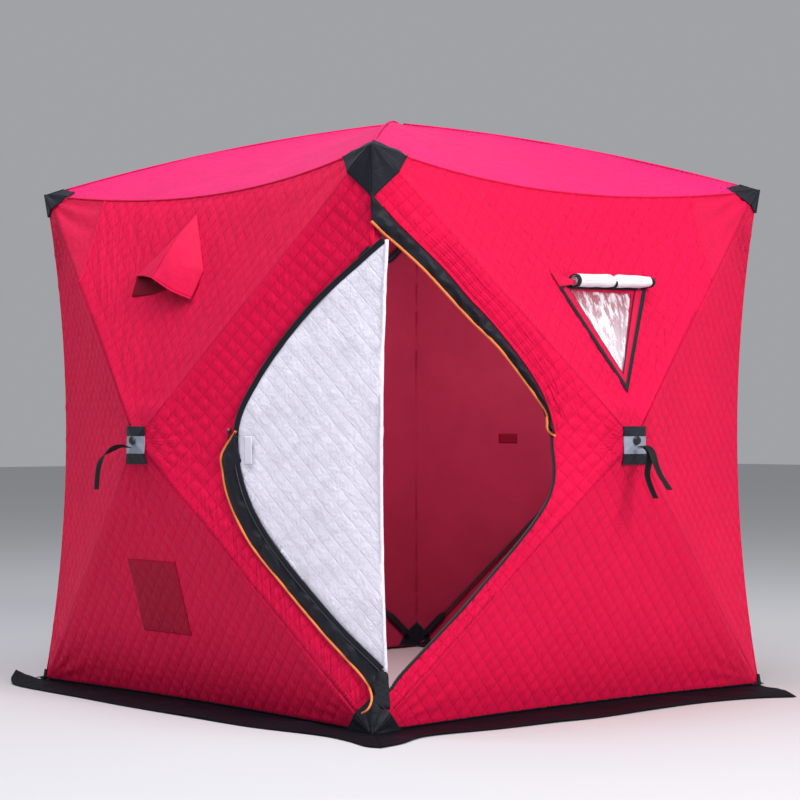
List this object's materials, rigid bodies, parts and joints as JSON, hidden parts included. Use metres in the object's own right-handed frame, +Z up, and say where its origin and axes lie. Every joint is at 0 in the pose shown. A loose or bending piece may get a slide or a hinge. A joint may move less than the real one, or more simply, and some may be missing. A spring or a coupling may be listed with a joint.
{
  "type": "ice fishing shelter",
  "caption": "Pop-up hub ice fishing shelter with quilted walls, pole-and-hub frame, corner door folded open, window and vent.",
  "frame": {"origin": "on the ice at the middle of the footprint", "axes": "+Z up; the door corner is at +X and -Y"},
  "size_m": [2.5511, 2.5524, 2],
  "materials": {
    "quilted_red": "quilted, satin",
    "roof_red": "plain weave",
    "hood_red": "plain weave",
    "fibreglass": "satin",
    "patch": "grey and black",
    "hub_plastic": "moulded",
    "webbing": "woven",
    "lining": "quilted, satin",
    "clear_vinyl": "clear",
    "zip_metal": "satin",
    "zip_tab": "woven",
    "black_fabric": "coated weave"
  },
  "bodies": {
    "shell": {"bottom_boot_back": "black_fabric", "bottom_boot_door": "black_fabric", "bottom_boot_left": "black_fabric", "bottom_boot_right": "black_fabric", "door_fixed_half": "quilted_red", "roof_canopy": "roof_red", "snow_skirt_back_left": "black_fabric", "snow_skirt_back_right": "black_fabric", "snow_skirt_front_left": "black_fabric", "snow_skirt_front_right": "black_fabric", "storm_flap_left": "black_fabric", "storm_flap_right": "black_fabric", "top_boot_back": "black_fabric", "top_boot_door": "black_fabric", "top_boot_left": "black_fabric", "top_boot_right": "black_fabric", "vent_hood": "hood_red", "wall_back_left": "quilted_red", "wall_back_right": "quilted_red", "wall_front_left": "quilted_red", "wall_front_right": "quilted_red", "window_blind": "lining", "window_pane": "clear_vinyl"},
    "hub_front_left_body": {"hub_front_left": "hub_plastic", "hub_patch_front_left": "patch", "pull_strap_front_left": "webbing"},
    "pole_front_left_top_left_body": {"pole_front_left_top_left": "fibreglass"},
    "pole_front_left_top_right_body": {"pole_front_left_top_right": "fibreglass"},
    "pole_front_left_bottom_left_body": {"pole_front_left_bottom_left": "fibreglass"},
    "pole_front_left_bottom_right_body": {"pole_front_left_bottom_right": "fibreglass"},
    "hub_front_right_body": {"hub_front_right": "hub_plastic", "hub_patch_front_right": "patch", "pull_strap_front_right": "webbing"},
    "pole_front_right_top_left_body": {"pole_front_right_top_left": "fibreglass"},
    "pole_front_right_top_right_body": {"pole_front_right_top_right": "fibreglass"},
    "pole_front_right_bottom_left_body": {"pole_front_right_bottom_left": "fibreglass"},
    "pole_front_right_bottom_right_body": {"pole_front_right_bottom_right": "fibreglass"},
    "hub_back_right_body": {"hub_back_right": "hub_plastic", "hub_patch_back_right": "patch", "pull_strap_back_right": "webbing"},
    "pole_back_right_top_left_body": {"pole_back_right_top_left": "fibreglass"},
    "pole_back_right_top_right_body": {"pole_back_right_top_right": "fibreglass"},
    "pole_back_right_bottom_left_body": {"pole_back_right_bottom_left": "fibreglass"},
    "pole_back_right_bottom_right_body": {"pole_back_right_bottom_right": "fibreglass"},
    "hub_back_left_body": {"hub_back_left": "hub_plastic", "hub_patch_back_left": "patch", "pull_strap_back_left": "webbing"},
    "pole_back_left_top_left_body": {"pole_back_left_top_left": "fibreglass"},
    "pole_back_left_top_right_body": {"pole_back_left_top_right": "fibreglass"},
    "pole_back_left_bottom_left_body": {"pole_back_left_bottom_left": "fibreglass"},
    "pole_back_left_bottom_right_body": {"pole_back_left_bottom_right": "fibreglass"},
    "hub_roof_body": {"hub_roof": "hub_plastic"},
    "pole_roof_door_body": {"pole_roof_door": "fibreglass"},
    "pole_roof_right_body": {"pole_roof_right": "fibreglass"},
    "pole_roof_back_body": {"pole_roof_back": "fibreglass"},
    "pole_roof_left_body": {"pole_roof_left": "fibreglass"},
    "door_leaf_body": {"door_leaf": "lining"},
    "zip_slider_body": {"zip_slider": "zip_metal"},
    "zip_pull_body": {"zip_pull": "zip_tab"},
    "vent_prop_body": {"vent_prop": "hub_plastic"}
  },
  "joints": [
    {"name": "push_in_front_left", "type": "slide", "parent": "shell", "child": "hub_front_left_body", "axis": [0, 1, 0], "range_m": [0, 0.46], "deforming": ["pull_strap_front_left", "hub_patch_front_left"]},
    {"name": "swing_front_left_top_left", "type": "hinge", "parent": "hub_front_left_body", "child": "pole_front_left_top_left_body", "pos_m": [-0.02145, -1.102, 0.89097], "axis": [0.6991, 0, 0.715], "range_deg": [-0.5, 21.7]},
    {"name": "swing_front_left_top_right", "type": "hinge", "parent": "hub_front_left_body", "child": "pole_front_left_top_right_body", "pos_m": [0.02145, -1.102, 0.89097], "axis": [0.6991, 0, -0.715], "range_deg": [-0.5, 21.7]},
    {"name": "swing_front_left_bottom_left", "type": "hinge", "parent": "hub_front_left_body", "child": "pole_front_left_bottom_left_body", "pos_m": [-0.02157, -1.102, 0.84915], "axis": [-0.695, 0, 0.719], "range_deg": [-0.5, 21.82]},
    {"name": "swing_front_left_bottom_right", "type": "hinge", "parent": "hub_front_left_body", "child": "pole_front_left_bottom_right_body", "pos_m": [0.02157, -1.102, 0.84915], "axis": [-0.695, 0, -0.719], "range_deg": [-0.5, 21.82]},
    {"name": "push_in_front_right", "type": "slide", "parent": "shell", "child": "hub_front_right_body", "axis": [-1, 0, 0], "range_m": [0, 0.46], "deforming": ["pull_strap_front_right", "hub_patch_front_right"]},
    {"name": "swing_front_right_top_left", "type": "hinge", "parent": "hub_front_right_body", "child": "pole_front_right_top_left_body", "pos_m": [1.102, -0.02145, 0.89097], "axis": [0, 0.6991, 0.715], "range_deg": [-0.5, 21.7]},
    {"name": "swing_front_right_top_right", "type": "hinge", "parent": "hub_front_right_body", "child": "pole_front_right_top_right_body", "pos_m": [1.102, 0.02145, 0.89097], "axis": [0, 0.6991, -0.715], "range_deg": [-0.5, 21.7]},
    {"name": "swing_front_right_bottom_left", "type": "hinge", "parent": "hub_front_right_body", "child": "pole_front_right_bottom_left_body", "pos_m": [1.102, -0.02157, 0.84915], "axis": [0, -0.695, 0.719], "range_deg": [-0.5, 21.82]},
    {"name": "swing_front_right_bottom_right", "type": "hinge", "parent": "hub_front_right_body", "child": "pole_front_right_bottom_right_body", "pos_m": [1.102, 0.02157, 0.84915], "axis": [0, -0.695, -0.719], "range_deg": [-0.5, 21.82]},
    {"name": "push_in_back_right", "type": "slide", "parent": "shell", "child": "hub_back_right_body", "axis": [0, -1, 0], "range_m": [0, 0.46], "deforming": ["pull_strap_back_right", "hub_patch_back_right"]},
    {"name": "swing_back_right_top_left", "type": "hinge", "parent": "hub_back_right_body", "child": "pole_back_right_top_left_body", "pos_m": [0.02145, 1.102, 0.89097], "axis": [-0.6991, 0, 0.715], "range_deg": [-0.5, 21.7]},
    {"name": "swing_back_right_top_right", "type": "hinge", "parent": "hub_back_right_body", "child": "pole_back_right_top_right_body", "pos_m": [-0.02145, 1.102, 0.89097], "axis": [-0.6991, 0, -0.715], "range_deg": [-0.5, 21.7]},
    {"name": "swing_back_right_bottom_left", "type": "hinge", "parent": "hub_back_right_body", "child": "pole_back_right_bottom_left_body", "pos_m": [0.02157, 1.102, 0.84915], "axis": [0.695, 0, 0.719], "range_deg": [-0.5, 21.82]},
    {"name": "swing_back_right_bottom_right", "type": "hinge", "parent": "hub_back_right_body", "child": "pole_back_right_bottom_right_body", "pos_m": [-0.02157, 1.102, 0.84915], "axis": [0.695, 0, -0.719], "range_deg": [-0.5, 21.82]},
    {"name": "push_in_back_left", "type": "slide", "parent": "shell", "child": "hub_back_left_body", "axis": [1, 0, 0], "range_m": [0, 0.46], "deforming": ["pull_strap_back_left", "hub_patch_back_left"]},
    {"name": "swing_back_left_top_left", "type": "hinge", "parent": "hub_back_left_body", "child": "pole_back_left_top_left_body", "pos_m": [-1.102, 0.02145, 0.89097], "axis": [0, -0.6991, 0.715], "range_deg": [-0.5, 21.7]},
    {"name": "swing_back_left_top_right", "type": "hinge", "parent": "hub_back_left_body", "child": "pole_back_left_top_right_body", "pos_m": [-1.102, -0.02145, 0.89097], "axis": [0, -0.6991, -0.715], "range_deg": [-0.5, 21.7]},
    {"name": "swing_back_left_bottom_left", "type": "hinge", "parent": "hub_back_left_body", "child": "pole_back_left_bottom_left_body", "pos_m": [-1.102, 0.02157, 0.84915], "axis": [0, 0.695, 0.719], "range_deg": [-0.5, 21.82]},
    {"name": "swing_back_left_bottom_right", "type": "hinge", "parent": "hub_back_left_body", "child": "pole_back_left_bottom_right_body", "pos_m": [-1.102, -0.02157, 0.84915], "axis": [0, 0.695, -0.719], "range_deg": [-0.5, 21.82]},
    {"name": "push_in_roof", "type": "slide", "parent": "shell", "child": "hub_roof_body", "axis": [0, 0, -1], "range_m": [0, 0.5]},
    {"name": "swing_roof_door", "type": "hinge", "parent": "hub_roof_body", "child": "pole_roof_door_body", "pos_m": [0.02121, -0.02121, 1.964], "axis": [-0.7071, -0.7071, 0], "range_deg": [-0.5, 23.25]},
    {"name": "swing_roof_right", "type": "hinge", "parent": "hub_roof_body", "child": "pole_roof_right_body", "pos_m": [0.02121, 0.02121, 1.964], "axis": [0.7071, -0.7071, 0], "range_deg": [-0.5, 23.25]},
    {"name": "swing_roof_back", "type": "hinge", "parent": "hub_roof_body", "child": "pole_roof_back_body", "pos_m": [-0.02121, 0.02121, 1.964], "axis": [0.7071, 0.7071, 0], "range_deg": [-0.5, 23.25]},
    {"name": "swing_roof_left", "type": "hinge", "parent": "hub_roof_body", "child": "pole_roof_left_body", "pos_m": [-0.02121, -0.02121, 1.964], "axis": [-0.7071, 0.7071, 0], "range_deg": [-0.5, 23.25]},
    {"name": "door_leaf_swing", "type": "hinge", "parent": "shell", "child": "door_leaf_body", "pos_m": [0.922, -0.88, 0.83], "axis": [0, 0, 1], "range_deg": [0, 246]},
    {"name": "zip_slider_run", "type": "slide", "parent": "shell", "child": "zip_slider_body", "axis": [0, 0, 1], "range_m": [-0.05, 0.05]},
    {"name": "zip_pull_swing", "type": "hinge", "parent": "zip_slider_body", "child": "zip_pull_body", "pos_m": [0.36, -1.02635, 0.9], "axis": [-1, 0, 0], "range_deg": [0, 150]},
    {"name": "vent_prop_swing", "type": "hinge", "parent": "shell", "child": "vent_prop_body", "pos_m": [-0.07, -0.94698, 1.388], "axis": [1, 0, 0], "range_deg": [0, 62]}
  ],
  "couplings": [
    {"joint": "swing_front_left_top_left", "follows": "push_in_front_left", "rad_per_m": 0.80454},
    {"joint": "swing_front_left_top_right", "follows": "push_in_front_left", "rad_per_m": 0.80454},
    {"joint": "swing_front_left_bottom_left", "follows": "push_in_front_left", "rad_per_m": 0.80902},
    {"joint": "swing_front_left_bottom_right", "follows": "push_in_front_left", "rad_per_m": 0.80902},
    {"joint": "swing_front_right_top_left", "follows": "push_in_front_right", "rad_per_m": 0.80454},
    {"joint": "swing_front_right_top_right", "follows": "push_in_front_right", "rad_per_m": 0.80454},
    {"joint": "swing_front_right_bottom_left", "follows": "push_in_front_right", "rad_per_m": 0.80902},
    {"joint": "swing_front_right_bottom_right", "follows": "push_in_front_right", "rad_per_m": 0.80902},
    {"joint": "swing_back_right_top_left", "follows": "push_in_back_right", "rad_per_m": 0.80454},
    {"joint": "swing_back_right_top_right", "follows": "push_in_back_right", "rad_per_m": 0.80454},
    {"joint": "swing_back_right_bottom_left", "follows": "push_in_back_right", "rad_per_m": 0.80902},
    {"joint": "swing_back_right_bottom_right", "follows": "push_in_back_right", "rad_per_m": 0.80902},
    {"joint": "swing_back_left_top_left", "follows": "push_in_back_left", "rad_per_m": 0.80454},
    {"joint": "swing_back_left_top_right", "follows": "push_in_back_left", "rad_per_m": 0.80454},
    {"joint": "swing_back_left_bottom_left", "follows": "push_in_back_left", "rad_per_m": 0.80902},
    {"joint": "swing_back_left_bottom_right", "follows": "push_in_back_left", "rad_per_m": 0.80902},
    {"joint": "swing_roof_door", "follows": "push_in_roof", "rad_per_m": 0.79404},
    {"joint": "swing_roof_right", "follows": "push_in_roof", "rad_per_m": 0.79404},
    {"joint": "swing_roof_back", "follows": "push_in_roof", "rad_per_m": 0.79404},
    {"joint": "swing_roof_left", "follows": "push_in_roof", "rad_per_m": 0.79404}
  ]
}
